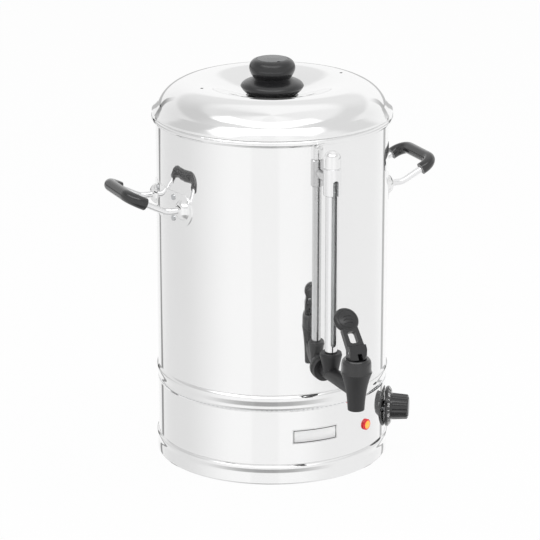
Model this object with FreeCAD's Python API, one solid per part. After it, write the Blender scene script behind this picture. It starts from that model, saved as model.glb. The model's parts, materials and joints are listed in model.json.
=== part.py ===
"""Electric hot water urn: single-wall steel tank on a heater base, lid, two handles, sight gauge and lever tap.

Millimetres. +Z is up, the resting plane is z = 0, the tank's axis is the Z axis and the tap faces -Y.
Round stations on the wall are given by their angle from the front, positive towards +X.
"""
import FreeCAD, Part
import math
import os

V = FreeCAD.Vector
X, Y, Z = V(1, 0, 0), V(0, 1, 0), V(0, 0, 1)
ORIGIN = V(0, 0, 0)

# General clearances
RUN_GAP = 0.05          # radial clearance of a running fit
SOFT_GAP = 0.3          # gap between curved faces of pieces that move apart
SEAT_GAP = 0.1          # gap of a loose seat inside one body
POLE_R = 0.5            # small flat on the top of a turned dome

# Tank and base shells
TANK_R = 131.5          # outer radius of the tank wall
SHEET = 1.0             # thickness of the steel sheet
TANK_TOP = 394.8        # centre height of the rolled rim
RIM_BEAD_R = 4.0        # radius of the rolled rim
BAND_Z0 = 86.0          # underside of the mid band
BAND_H = 20.0           # height of the mid band
BAND_T = 3.2            # depth of the mid band over the tank's spigot
BAND_BEAD = 1.5         # how far the band's bead stands out of its grooves
SPIGOT_H = 8.0          # overlap of shells that slide into each other
PLINTH_Z0 = 1.6         # lower edge of the plinth, just off the table
PLINTH_H = 22.4         # height of the plinth ring
PLINTH_BEAD_H = 11.0    # height of the rounded bead over the plinth's skirt
PLINTH_INSET = 1.0      # how far the skirt stands inside the tank's radius
FLOOR_DROP = 8.0        # tank floor under the band's top edge
FLOOR_DISH = 3.0        # how far the floor's middle is pressed up
PLATE_Z = 4.6           # underside of the bottom plate
PLATE_LIP = 6.0         # height of the bottom plate's rim
FOOT_R = 9.0
FOOT_RING = 104.0
FOOT_HEAD = 2.0
FOOT_N = 4
VENT_SLOT = 4.0         # width of a vent slot in the bottom plate
VENT_LEN = 26.0
VENT_RINGS = (34.0, 62.0)
VENT_N = 8

# Lid
LID_OVERHANG = 3.8      # how far the lid stands out past the tank wall
LID_EDGE_H = 2.6        # height of the lid's upright edge
LID_SHOULDER_IN = 3.5   # the shoulder and the crest, in from the tank wall and up from the lid's seat
LID_SHOULDER_RISE = 11.6
LID_CREST_IN = 45.5
LID_CREST_RISE = 34.6
LID_WELL_R = 30.0
LID_WELL_RISE = 19.7
LID_SKIRT_GAP = 0.8     # gap from the lid's inner skirt to the rolled rim
LID_SKIRT_DROP = 12.9
LID_VENT_R = 1.8
KNOB_FOOT_R = 25.5
KNOB_FLANGE_R = 35.6
KNOB_FLANGE_RISE = 9.4
KNOB_RIM = 3.4
KNOB_NECK_R = 21.0
KNOB_NECK_RISE = 19.0
KNOB_BULB_R = 25.9
KNOB_BULB_RISE = 30.7
KNOB_H = 40.0
KNOB_CAP_R = 18.0
KNOB_CAP_DEEP = 1.6
KNOB_SCREW_R = 2.5
KNOB_SCREW_HEAD_R = 5.0
KNOB_WASHER_R = 9.0
KNOB_WASHER_T = 1.2

# Handles, on +X and -X
HANDLE_Z = 307.5
ROD_R = 3.6
ROD_PITCH = 73.0        # distance between the two legs
HANDLE_REACH = 187.0 # crossbar's distance from the tank's axis
HANDLE_RISE = 20.5 # crossbar's height over the bosses
ROD_LEVEL = 20.0 # level stretch of a leg in front of the wall
ROD_BEND_R = 22.0
ROD_CORNER_R = 15.0
GRIP_R = 7.0
GRIP_LEG = 3.0 # how far the grip reaches back along each leg's slope
HANDLE_PLATE_T = 1.5
HANDLE_PLATE_W = 104.0
HANDLE_PLATE_H = 36.0
BOSS_R = 12.0
BOSS_OUT = 7.0
RIVET_R = 2.0
RIVET_HEAD = 1.0
RIVET_AT = (22.0, 12.0) # from the handle's middle: across, and up or down

# Tap
TAP_Z = 135.0 # shank's axis
TAP_FLANGE_R = 13.5
TAP_FLANGE_T = 5.0
SHANK_R = 8.2
SHANK_BORE_R = 5.0
NOZZLE_OUT = 84.0 # nozzle's axis from the wall
NOZZLE_Z = 114.0
NOZZLE_R = 9.2
NOZZLE_WALL = 2.4
THROAT_Z = 138.0 # where the nozzle starts to widen
THROAT_R = 10.6
SHOULDER_Z = 157.0
SHOULDER_R = 17.3
CHAMBER_R = 12.5
RISE_R = 2.6            # passage from the shank's bore up into the chamber, beside the seat
CHAMBER_Z = 143.0
BONNET_TOP = 173.0
BONNET_TOP_R = 14.0
STEM_R = 2.6
STEM_EYE_R = 4.2
STEM_EYE_T = 5.0
PIN_Z = 180.0
PIN_R = 1.6
LEVER_W = 20.5
LEVER_T = 6.0
LEVER_LEAN = 43.0 # degrees back towards the tank
LEVER_LONG = 38.5 # pin to the middle of the paddle
PADDLE_R = 14.4
PADDLE_T = 7.0
LEVER_SLOT_W = 9.5
LEVER_SLOT_L = 14.0
LEVER_SLOT_AT = 16.5
LEVER_TRAVEL = 28.0     # degrees
STEM_LIFT = 3.5
CUP_R = 8.5
NUT_R = 13.5
NUT_T = 7.0
WASHER_R = 13.5
WASHER_T = 2.0

# Sight gauge
GAUGE_OUT = 21.5        # gauge's axis from the wall
GUARD_R = 7.0
GUARD_WALL = 0.8
GLASS_R = 4.0
GLASS_WALL = 1.0
SOCKET_TOP = 160.0
SOCKET_R = 12.4
SOCKET_FOOT_R = 9.4
SEAL_T = 7.0
COLLAR_DROP = 24.8      # collar's top under the tank's rim
COLLAR_H = 30.0
COLLAR_R = 9.8
SIGHT_W = 6.6
SIGHT_RISE = 7.5        # slot's lower end over the socket
SIGHT_DROP = 12.0       # slot's upper end under the collar's top
STUB_R = 5.0
STUB_AT = 14.0          # stub's axis under the collar's top
CAP_R = 9.4
CAP_H = 20.0

# Thermostat, its dial and the indicator lamp
DIAL_ANGLE = 58.0
DIAL_Z = 51.3
DIAL_OFF = 2.2 # gap from the wall to the skirt's back, on the axis
DIAL_SKIRT_R = 23.5
DIAL_SKIRT_T = 5.0
DIAL_FACE_R = 19.0
DIAL_GRIP_R = 15.5
DIAL_GRIP_TOP_R = 14.0
DIAL_GRIP_L = 19.5
DIAL_FLUTES = 12
DIAL_FLUTE_R = 2.4
DIAL_CAP_T = 1.4
SHAFT_R = 3.0
THERMO_W = 38.0
THERMO_H = 34.0
THERMO_D = 24.0
BULB_R = 3.0
BULB_L = 70.0
WELL_WALL = 0.8
CAPILLARY_R = 0.9
LAMP_ANGLE = 28.6
LAMP_Z = 52.0
LAMP_R = 6.4
LAMP_OUT = 2.8
LAMP_BODY_R = 5.0
LAMP_BODY_L = 24.0
LAMP_WINDOW_R = 4.6

# Heater and wiring parts under the tank
ELEMENT_R = 4.2
ELEMENT_RING = 74.0
ELEMENT_RISE = 22.0     # ring over the floor
ELEMENT_GAP = 24.0      # half angle of the ring's open rear, in degrees
ELEMENT_BEND = 10.0
ELEMENT_STUD = 15.0
CUTOUT_R = 8.5
CUTOUT_H = 11.0
CUTOUT_AT = (-40.0, 0.0)
TERMINAL = (52.0, 18.0, 16.0)
TERMINAL_AT = (0.0, 60.0)
GLAND_Z = 46.0
GLAND_R = 8.0
GLAND_BORE_R = 4.5
GLAND_L = 14.0
GLAND_NUT_R = 11.0
GLAND_NUT_SEAT = 0.8    # the flat nut bears on the curved wall at its corners

# Values that follow from the sizes above
WALL_IN = TANK_R - SHEET
BAND_Z1 = BAND_Z0 + BAND_H
SPIGOT_R = TANK_R - BAND_T
FLOOR_Z = BAND_Z1 - FLOOR_DROP
PLINTH_R = TANK_R - PLINTH_INSET
PLINTH_Z1 = PLINTH_Z0 + PLINTH_H
HOUSING_Z0 = PLINTH_Z1
RIM_R = TANK_R + RIM_BEAD_R + 0.8
LID_TOP_T = SHEET
LID_SEAT_Z = TANK_TOP + RIM_BEAD_R + SEAT_GAP
LID_R = TANK_R + LID_OVERHANG
LID_SHOULDER_R = TANK_R - LID_SHOULDER_IN
LID_SHOULDER_Z = LID_SEAT_Z + LID_SHOULDER_RISE
LID_CREST_R = TANK_R - LID_CREST_IN
LID_CREST_Z = LID_SEAT_Z + LID_CREST_RISE
LID_WELL_Z = LID_SEAT_Z + LID_WELL_RISE
LID_SKIRT_Z = LID_SEAT_Z - LID_SKIRT_DROP
COLLAR_TOP = TANK_TOP - COLLAR_DROP
SIGHT_Z0 = SOCKET_TOP + SIGHT_RISE
SIGHT_Z1 = COLLAR_TOP - SIGHT_DROP
NOZZLE_Y = -(TANK_R + NOZZLE_OUT)
GAUGE_Y = -(TANK_R + GAUGE_OUT)
EAR_X0 = STEM_EYE_T / 2 + RUN_GAP * 2
CAM_R0 = PIN_Z - BONNET_TOP - SOFT_GAP
BOSS_X = math.sqrt(TANK_R ** 2 - (ROD_PITCH / 2) ** 2)
DIAL_BACK = TANK_R + DIAL_OFF
STUB_Z = COLLAR_TOP - STUB_AT
NUT_Y = WALL_IN - WASHER_T - 0.9
STUB_PIN_R = STUB_R - 1.5
SHANK_THREAD_R = SHANK_R - 0.8
SEAL_R = GLASS_R + 2.5
SEAT_BORE_R = 5.5
GLASS_Z0 = SOCKET_TOP - 16.0
FLOOR_TOP = FLOOR_Z + FLOOR_DISH
FLOOR_UNDER = FLOOR_TOP - SHEET
OUT = V(0, -1, 0)
GLASS_Z1 = COLLAR_TOP - 6.0
THERMO_FACE = WALL_IN - 2.2
SCREW_R = 1.8
SCREW_AT = 10.0
STUD_R = ELEMENT_R + 0.9
WELL_R = BULB_R + RUN_GAP + WELL_WALL
WELL_AT = (ELEMENT_RING / 2, -ELEMENT_RING / 2)


def turned(points, centre=ORIGIN, axis=Z, sweep=360):
    """Solid of revolution from a closed outline of (radius, height) points."""
    wire = Part.makePolygon([V(r, 0, z) for r, z in points + points[:1]])
    return finish_turn(Part.Face(wire), centre, axis, sweep)


def turned_edges(edges, centre=ORIGIN, axis=Z, sweep=360):
    """Solid of revolution from edges in the XZ plane."""
    return finish_turn(Part.Face(Part.Wire(edges)), centre, axis, sweep)


def finish_turn(face, centre, axis, sweep):
    solid = face.revolve(ORIGIN, Z, sweep)
    solid = solid if isinstance(solid, Part.Solid) else Part.Solid(solid.Shells[0])
    if solid.Volume < 0:
        solid.reverse()
    if axis != Z:
        solid.Placement = FreeCAD.Placement(ORIGIN, FreeCAD.Rotation(Z, axis))
    solid.translate(centre)
    return solid


def line(a, b):
    """Straight edge between two (radius, height) points of an outline."""
    return Part.makeLine(V(a[0], 0, a[1]), V(b[0], 0, b[1]))


def arc(a, m, b):
    """Arc through three (radius, height) points of an outline."""
    return Part.Arc(V(a[0], 0, a[1]), V(m[0], 0, m[1]), V(b[0], 0, b[1])).toShape()


def curve(points):
    """Smooth edge through (radius, height) points of an outline."""
    spline = Part.BSplineCurve()
    spline.interpolate([V(r, 0, z) for r, z in points])
    return spline.toShape()


def rod(radius, start, end):
    """Round bar between two points."""
    along = end - start
    return Part.makeCylinder(radius, along.Length, start, along)


def at_angle(shape, degrees):
    """Turn a piece that was built at the front to its station round the wall."""
    copy = shape.copy()
    copy.rotate(ORIGIN, Z, degrees)
    return copy


def rounded_path(corners, radii):
    """Wire of straight runs joined by tangent arcs, one radius for each inner corner."""
    edges = []
    last = corners[0]
    for before, here, after, radius in zip(corners, corners[1:], corners[2:], radii):
        back = (before - here).normalize()
        ahead = (after - here).normalize()
        half = back.getAngle(ahead) / 2
        trim = radius / math.tan(half)
        enter = here + back * trim
        leave = here + ahead * trim
        middle = here + (back + ahead).normalize() * (radius / math.sin(half) - radius)
        edges.append(Part.makeLine(last, enter))
        edges.append(Part.Arc(enter, middle, leave).toShape())
        last = leave
    edges.append(Part.makeLine(last, corners[-1]))
    return Part.Wire(edges)


def piped(path, radius):
    """Round bar along a wire."""
    start = path.Edges[0]
    section = Part.Wire(Part.makeCircle(radius, start.valueAt(start.FirstParameter),
                                        start.tangentAt(start.FirstParameter)))
    return path.makePipeShell([section], True, False)


def fused(first, *others):
    """One solid from overlapping ones."""
    return first.multiFuse(list(others)).removeSplitter()


# Tank and base

def tank_shell():
    """Straight wall with a joggled spigot below and a rolled rim on top."""
    joggle = BAND_T
    spigot_in = SPIGOT_R - SHEET
    wall = turned([(SPIGOT_R, BAND_Z0 + 1), (SPIGOT_R, BAND_Z1), (TANK_R, BAND_Z1),
                   (TANK_R, TANK_TOP - RIM_BEAD_R), (WALL_IN, TANK_TOP - RIM_BEAD_R),
                   (WALL_IN, BAND_Z1 + joggle), (spigot_in, BAND_Z1 + SHEET), (spigot_in, BAND_Z0 + 1)])
    bead = Part.makeTorus(RIM_R - RIM_BEAD_R, RIM_BEAD_R, V(0, 0, TANK_TOP))
    neck = turned([(WALL_IN, TANK_TOP - RIM_BEAD_R - 1), (TANK_R, TANK_TOP - RIM_BEAD_R - 1),
                   (TANK_R, TANK_TOP), (WALL_IN, TANK_TOP)])
    shell = fused(wall, neck, bead)
    shank_hole = rod(SHANK_THREAD_R + SEAT_GAP, V(0, -WALL_IN + 6, TAP_Z), V(0, -TANK_R - 6, TAP_Z))
    stub_hole = rod(STUB_PIN_R + SEAT_GAP, V(0, -WALL_IN + 6, STUB_Z), V(0, -TANK_R - 6, STUB_Z))
    return shell.cut([shank_hole, stub_hole] + wall_holes_for_handles())


def tank_floor():
    """Pressed floor with a turned-down flange inside the spigot and holes for the heater's legs."""
    outer = SPIGOT_R - SHEET - SEAT_GAP
    floor = turned([(0, FLOOR_Z + FLOOR_DISH), (outer - 30, FLOOR_Z + FLOOR_DISH), (outer - 20, FLOOR_Z),
                    (outer, FLOOR_Z), (outer, BAND_Z0 + 2), (outer - SHEET, BAND_Z0 + 2),
                    (outer - SHEET, FLOOR_Z - SHEET), (outer - 20.4, FLOOR_Z - SHEET),
                    (outer - 30.4, FLOOR_Z + FLOOR_DISH - SHEET), (0, FLOOR_Z + FLOOR_DISH - SHEET)])
    for side in (-1, 1):
        floor = floor.cut(Part.makeCylinder(STUD_R + SEAT_GAP, 30, element_leg(side) - Z * 15))
    well = Part.makeCylinder(WELL_R + SEAT_GAP, 30, V(WELL_AT[0], WELL_AT[1], FLOOR_Z - 10))
    return floor.cut(well)


def mid_band():
    """Band between tank and base: rounded bead between two grooves, and a spigot down into the base."""
    groove = SPIGOT_R + BAND_T - BAND_BEAD
    bead_low, bead_high = BAND_Z0 + 6.0, BAND_Z1 - 2.2
    crest = TANK_R - 0.2
    edges = [line((SPIGOT_R + SEAT_GAP, BAND_Z1), (SPIGOT_R + SEAT_GAP, BAND_Z0 - SPIGOT_H)),
             line((SPIGOT_R + SEAT_GAP, BAND_Z0 - SPIGOT_H), (WALL_IN - SEAT_GAP, BAND_Z0 - SPIGOT_H)),
             line((WALL_IN - SEAT_GAP, BAND_Z0 - SPIGOT_H), (WALL_IN - SEAT_GAP, BAND_Z0)),
             line((WALL_IN - SEAT_GAP, BAND_Z0), (TANK_R, BAND_Z0)),
             line((TANK_R, BAND_Z0), (TANK_R, BAND_Z0 + 1.5)),
             line((TANK_R, BAND_Z0 + 1.5), (groove, BAND_Z0 + 3.0)),
             line((groove, BAND_Z0 + 3.0), (groove, bead_low)),
             arc((groove, bead_low), (crest, (bead_low + bead_high) / 2), (groove, bead_high)),
             line((groove, bead_high), (groove, BAND_Z1)),
             line((groove, BAND_Z1), (SPIGOT_R + SEAT_GAP, BAND_Z1))]
    return turned_edges(edges)


def base_housing():
    """Plain drum round the heater, with openings for the dial's shaft, the lamp and the cable gland."""
    drum = turned([(WALL_IN, HOUSING_Z0), (TANK_R, HOUSING_Z0), (TANK_R, BAND_Z0), (WALL_IN, BAND_Z0)])
    for angle, height, radius in ((DIAL_ANGLE, DIAL_Z, SHAFT_R + 1.0), (LAMP_ANGLE, LAMP_Z, LAMP_BODY_R + SEAT_GAP),
                                  (180, GLAND_Z, GLAND_R + SEAT_GAP)):
        hole = rod(radius, V(0, -WALL_IN + 8, height), V(0, -TANK_R - 4, height))
        drum = drum.cut(at_angle(hole, angle))
    return drum


def plinth_ring():
    """Flat skirt with a rounded bead over it and a spigot up into the base housing."""
    inner = PLINTH_R - BAND_T
    bead_low = PLINTH_Z1 - PLINTH_BEAD_H
    bead_high = PLINTH_Z1 - 2.0
    groove = PLINTH_R - 1.2
    spigot_in = WALL_IN - SEAT_GAP - SHEET
    edges = [line((inner, PLINTH_Z0), (PLINTH_R, PLINTH_Z0)),
             line((PLINTH_R, PLINTH_Z0), (PLINTH_R, bead_low - 1)),
             line((PLINTH_R, bead_low - 1), (groove, bead_low)),
             arc((groove, bead_low), (PLINTH_R + 0.6, (bead_low + bead_high) / 2), (groove, bead_high)),
             line((groove, bead_high), (groove, PLINTH_Z1)),
             line((groove, PLINTH_Z1), (WALL_IN - SEAT_GAP, PLINTH_Z1)),
             line((WALL_IN - SEAT_GAP, PLINTH_Z1), (WALL_IN - SEAT_GAP, PLINTH_Z1 + SPIGOT_H)),
             line((WALL_IN - SEAT_GAP, PLINTH_Z1 + SPIGOT_H), (spigot_in, PLINTH_Z1 + SPIGOT_H)),
             line((spigot_in, PLINTH_Z1 + SPIGOT_H), (inner, PLINTH_Z1)),
             line((inner, PLINTH_Z1), (inner, PLINTH_Z0))]
    return turned_edges(edges)


def bottom_plate():
    """Dished plate with an upturned rim and two rings of vent slots."""
    rim = PLINTH_R - BAND_T - SEAT_GAP
    plate = turned([(0, PLATE_Z), (rim, PLATE_Z), (rim, PLATE_Z + PLATE_LIP), (rim - SHEET, PLATE_Z + PLATE_LIP),
                    (rim - SHEET, PLATE_Z + SHEET), (0, PLATE_Z + SHEET)])
    slots = []
    for ring in VENT_RINGS:
        for k in range(VENT_N):
            slot = Part.makeBox(VENT_LEN * ring / VENT_RINGS[1], VENT_SLOT, 4 * SHEET,
                                V(-VENT_LEN * ring / VENT_RINGS[1] / 2, -ring, PLATE_Z - SHEET))
            slots.append(at_angle(slot, 360 * k / VENT_N + 180 / VENT_N))
    return plate.cut(slots)


def rubber_feet():
    """Four rubber feet under the bottom plate, each on a short plug."""
    feet = []
    for k in range(FOOT_N):
        foot = turned([(0, 0), (FOOT_R - 1, 0), (FOOT_R, PLATE_Z), (0, PLATE_Z)])
        foot.translate(V(0, -FOOT_RING, 0))
        feet.append(at_angle(foot, 45 + 360 * k / FOOT_N))
    return Part.makeCompound(feet)


def foot_screws():
    """Pan-head screws that hold the feet, seen from inside the base."""
    screws = []
    for k in range(FOOT_N):
        head = Part.makeCylinder(4.0, FOOT_HEAD, V(0, -FOOT_RING, PLATE_Z + SHEET))
        screws.append(at_angle(head, 45 + 360 * k / FOOT_N))
    return Part.makeCompound(screws)


# Lid

def lid_shell():
    """Spun lid: stepped edge, domed crown, sunken well for the knob, and a skirt inside the tank."""
    skirt_out = RIM_R - 2 * RIM_BEAD_R - LID_SKIRT_GAP
    t = LID_TOP_T
    half_r = (LID_SHOULDER_R + LID_CREST_R) / 2
    half_z = LID_SHOULDER_Z + (LID_CREST_Z - LID_SHOULDER_Z) * 0.80
    slope_r = (LID_CREST_R + LID_WELL_R) / 2
    slope_z = (LID_CREST_Z + LID_WELL_Z) / 2 - 0.6
    edge_z = LID_SEAT_Z + LID_EDGE_H
    step = (LID_SHOULDER_R + 3.4, edge_z + 4.2)
    outside = [line((LID_R, LID_SEAT_Z), (LID_R, edge_z)),
               curve([(LID_R, edge_z), step, (LID_SHOULDER_R, LID_SHOULDER_Z)]),
               curve([(LID_SHOULDER_R, LID_SHOULDER_Z), (half_r + 6, half_z - 2.4), (LID_CREST_R, LID_CREST_Z),
                      (slope_r, slope_z + 1.6), (LID_WELL_R, LID_WELL_Z)]),
               line((LID_WELL_R, LID_WELL_Z), (0, LID_WELL_Z))]
    inside = [line((0, LID_WELL_Z), (0, LID_WELL_Z - t)),
              line((0, LID_WELL_Z - t), (LID_WELL_R + t, LID_WELL_Z - t)),
              curve([(LID_WELL_R + t, LID_WELL_Z - t), (slope_r, slope_z + 0.4), (LID_CREST_R, LID_CREST_Z - t),
                     (half_r + 5, half_z - 3.2), (LID_SHOULDER_R - t, LID_SHOULDER_Z - t)]),
              line((LID_SHOULDER_R - t, LID_SHOULDER_Z - t), (skirt_out - t, LID_SEAT_Z + t)),
              line((skirt_out - t, LID_SEAT_Z + t), (skirt_out - t, LID_SKIRT_Z)),
              line((skirt_out - t, LID_SKIRT_Z), (skirt_out, LID_SKIRT_Z)),
              line((skirt_out, LID_SKIRT_Z), (skirt_out, LID_SEAT_Z)),
              line((skirt_out, LID_SEAT_Z), (LID_R, LID_SEAT_Z))]
    lid = turned_edges(outside + inside)
    lid = lid.cut(Part.makeCylinder(KNOB_SCREW_R + SEAT_GAP, 20, V(0, 0, LID_WELL_Z - 10)))
    for side in (-1, 1):
        lid = lid.cut(Part.makeCylinder(LID_VENT_R, 30, V(side * LID_CREST_R, 0, LID_CREST_Z - 15)))
    return lid


def lid_knob():
    """Two-tier moulded knob: foot, wide flange, waist and bulb, with a recess for its cap."""
    z = LID_WELL_Z
    flange_z = z + KNOB_FLANGE_RISE
    neck_z = z + KNOB_NECK_RISE
    bulb_z = z + KNOB_BULB_RISE
    top = z + KNOB_H
    edges = [line((0, z), (KNOB_FOOT_R, z)),
             curve([(KNOB_FOOT_R, z), (KNOB_FLANGE_R - 2.0, flange_z - KNOB_RIM), (KNOB_FLANGE_R, flange_z)]),
             curve([(KNOB_FLANGE_R, flange_z), (KNOB_FLANGE_R - 2.4, flange_z + KNOB_RIM),
                    (KNOB_NECK_R + 4.0, neck_z - 2.4), (KNOB_NECK_R, neck_z)]),
             curve([(KNOB_NECK_R, neck_z), (KNOB_BULB_R - 1.4, bulb_z - 6.0), (KNOB_BULB_R, bulb_z),
                    (KNOB_BULB_R - 2.6, top - 3.0), (KNOB_CAP_R, top)]),
             line((KNOB_CAP_R, top), (KNOB_CAP_R, top - KNOB_CAP_DEEP)),
             line((KNOB_CAP_R, top - KNOB_CAP_DEEP), (KNOB_SCREW_R, top - KNOB_CAP_DEEP)),
             line((KNOB_SCREW_R, top - KNOB_CAP_DEEP), (KNOB_SCREW_R, z + 14)),
             line((KNOB_SCREW_R, z + 14), (KNOB_SCREW_R + RUN_GAP, z + 14)),
             line((KNOB_SCREW_R + RUN_GAP, z + 14), (KNOB_SCREW_R + RUN_GAP, z)),
             line((KNOB_SCREW_R + RUN_GAP, z), (0, z))]
    return turned_edges(edges[1:-1] + [line((KNOB_SCREW_R + RUN_GAP, z), (KNOB_FOOT_R, z))])


def lid_knob_cap():
    """Round cap set in the knob's top, with a finger notch at its front."""
    top = LID_WELL_Z + KNOB_H
    radius = KNOB_CAP_R - SEAT_GAP
    cap = turned([(0, top - KNOB_CAP_DEEP), (radius, top - KNOB_CAP_DEEP), (radius, top - 0.2),
                  (radius - 0.6, top + 0.3), (0, top + 0.9)])
    return cap.cut(Part.makeCylinder(2.2, 6, V(0, -radius, top - KNOB_CAP_DEEP - 1)))


def lid_knob_screw():
    """Screw from inside the lid up into the knob."""
    z = LID_WELL_Z
    under = z - LID_TOP_T - KNOB_WASHER_T
    return turned([(0, under - 2.6), (KNOB_SCREW_HEAD_R - 1, under - 2.6), (KNOB_SCREW_HEAD_R, under),
                   (KNOB_SCREW_R, under), (KNOB_SCREW_R, z + 13.5), (0, z + 13.5)])


def lid_knob_washer():
    z = LID_WELL_Z - LID_TOP_T
    return turned([(KNOB_SCREW_R + SEAT_GAP, z - KNOB_WASHER_T), (KNOB_WASHER_R, z - KNOB_WASHER_T),
                   (KNOB_WASHER_R, z), (KNOB_SCREW_R + SEAT_GAP, z)])


# Handles, built on +X

def handle_corners():
    """Centreline of a handle: level from the wall, sloping up, then across."""
    start = BOSS_X - SHEET - 2
    level_end = BOSS_X + ROD_LEVEL
    half = ROD_PITCH / 2
    top = HANDLE_Z + HANDLE_RISE
    return [V(start, -half, HANDLE_Z), V(level_end, -half, HANDLE_Z), V(HANDLE_REACH, -half, top),
            V(HANDLE_REACH, half, top), V(level_end, half, HANDLE_Z), V(start, half, HANDLE_Z)]


def handle_rod():
    """Round bar bent to a bail, with a flat head on each end inside the tank wall."""
    radii = (ROD_BEND_R, ROD_CORNER_R, ROD_CORNER_R, ROD_BEND_R)
    return piped(rounded_path(handle_corners(), radii), ROD_R)


def handle_grip():
    """Moulded sleeve over the crossbar, round both corners and a little way down each leg."""
    far = handle_corners()
    slope = (far[1] - far[2]).normalize()
    reach = GRIP_LEG + ROD_CORNER_R
    corners = [far[2] + slope * reach, far[2], far[3], V(far[3].x + slope.x * reach, far[3].y,
                                                        far[3].z + slope.z * reach)]
    path = rounded_path(corners, (ROD_CORNER_R, ROD_CORNER_R))
    sleeve = piped(path, GRIP_R)
    longer = [corners[0] + slope * 2, far[2], far[3], V(corners[3].x + slope.x * 2, far[3].y,
                                                       corners[3].z + slope.z * 2)]
    return sleeve.cut(piped(rounded_path(longer, (ROD_CORNER_R, ROD_CORNER_R)), ROD_R + 0.02))


def handle_plate():
    """Plate wrapped on the wall with rounded ends and a pressed boss round each leg of the rod."""
    low = HANDLE_Z - HANDLE_PLATE_H / 2
    high = HANDLE_Z + HANDLE_PLATE_H / 2
    wrap = turned([(TANK_R, low), (TANK_R + HANDLE_PLATE_T, low), (TANK_R + HANDLE_PLATE_T, high), (TANK_R, high)])
    end = HANDLE_PLATE_H / 2
    flat = HANDLE_PLATE_W / 2 - end * 0.55
    edge = HANDLE_PLATE_W / 2
    outline = Part.Wire([Part.makeLine(V(0, -flat, low), V(0, flat, low)),
                         Part.Arc(V(0, flat, low), V(0, edge, HANDLE_Z), V(0, flat, high)).toShape(),
                         Part.makeLine(V(0, flat, high), V(0, -flat, high)),
                         Part.Arc(V(0, -flat, high), V(0, -edge, HANDLE_Z), V(0, -flat, low)).toShape()])
    plate = wrap.common(Part.Face(outline).extrude(X * (TANK_R + 20)))
    inside = Part.makeCylinder(TANK_R, 4 * BOSS_R, V(0, 0, HANDLE_Z - 2 * BOSS_R))
    for side in (-1, 1):
        foot = V(BOSS_X - 4, side * ROD_PITCH / 2, HANDLE_Z)
        boss = turned_edges([line((0, 0), (BOSS_R, 0)), line((BOSS_R, 0), (BOSS_R, 4)),
                             curve([(BOSS_R, 4), (BOSS_R * 0.8, 4 + BOSS_OUT * 0.6), (ROD_R + 1.2, 4 + BOSS_OUT)]),
                             line((ROD_R + 1.2, 4 + BOSS_OUT), (0, 4 + BOSS_OUT)), line((0, 4 + BOSS_OUT), (0, 0))],
                            foot, X)
        plate = plate.fuse(boss.cut(inside))
    plate = plate.removeSplitter()
    for side in (-1, 1):
        bore = rod(ROD_R + 0.02, V(BOSS_X - 12, side * ROD_PITCH / 2, HANDLE_Z),
                   V(BOSS_X + 20, side * ROD_PITCH / 2, HANDLE_Z))
        plate = plate.cut(bore)
    return plate.cut(rivet_pins(RIVET_R + SEAT_GAP, TANK_R - 5, TANK_R + 5))


def on_wall(y, z, radius=TANK_R):
    """Point on a cylinder about the tank's axis, on the +X side."""
    return V(math.sqrt(radius ** 2 - y ** 2), y, z)


def rivet_pins(radius, inner, outer):
    """Round bars square to the wall at each rivet, between two distances from the tank's axis."""
    pins = []
    for side in (-1, 1):
        for rise in (-1, 1):
            foot = on_wall(side * RIVET_AT[0], 0)
            outward = V(foot.x, foot.y, 0).normalize()
            level = Z * (HANDLE_Z + rise * RIVET_AT[1])
            pins.append(rod(radius, outward * inner + level, outward * outer + level))
    return pins


def handle_rivets():
    """Flat-headed rivets through the plate and the wall."""
    skin = TANK_R + HANDLE_PLATE_T
    shanks = rivet_pins(RIVET_R, WALL_IN - 0.8, skin)
    heads = rivet_pins(RIVET_R * 1.6, skin, skin + RIVET_HEAD)
    return Part.makeCompound([shank.fuse(head) for shank, head in zip(shanks, heads)])


def wall_holes_for_handles():
    """Tools that open the tank wall for the rods and rivets of both handles."""
    tools = []
    for side in (-1, 1):
        tools.append(rod(ROD_R + SEAT_GAP, V(BOSS_X - 20, side * ROD_PITCH / 2, HANDLE_Z),
                         V(BOSS_X + 4, side * ROD_PITCH / 2, HANDLE_Z)))
    tools += rivet_pins(RIVET_R + SEAT_GAP, TANK_R - 5, TANK_R + 5)
    return tools + [at_angle(tool, 180) for tool in tools]


# Tap and sight gauge socket

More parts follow.
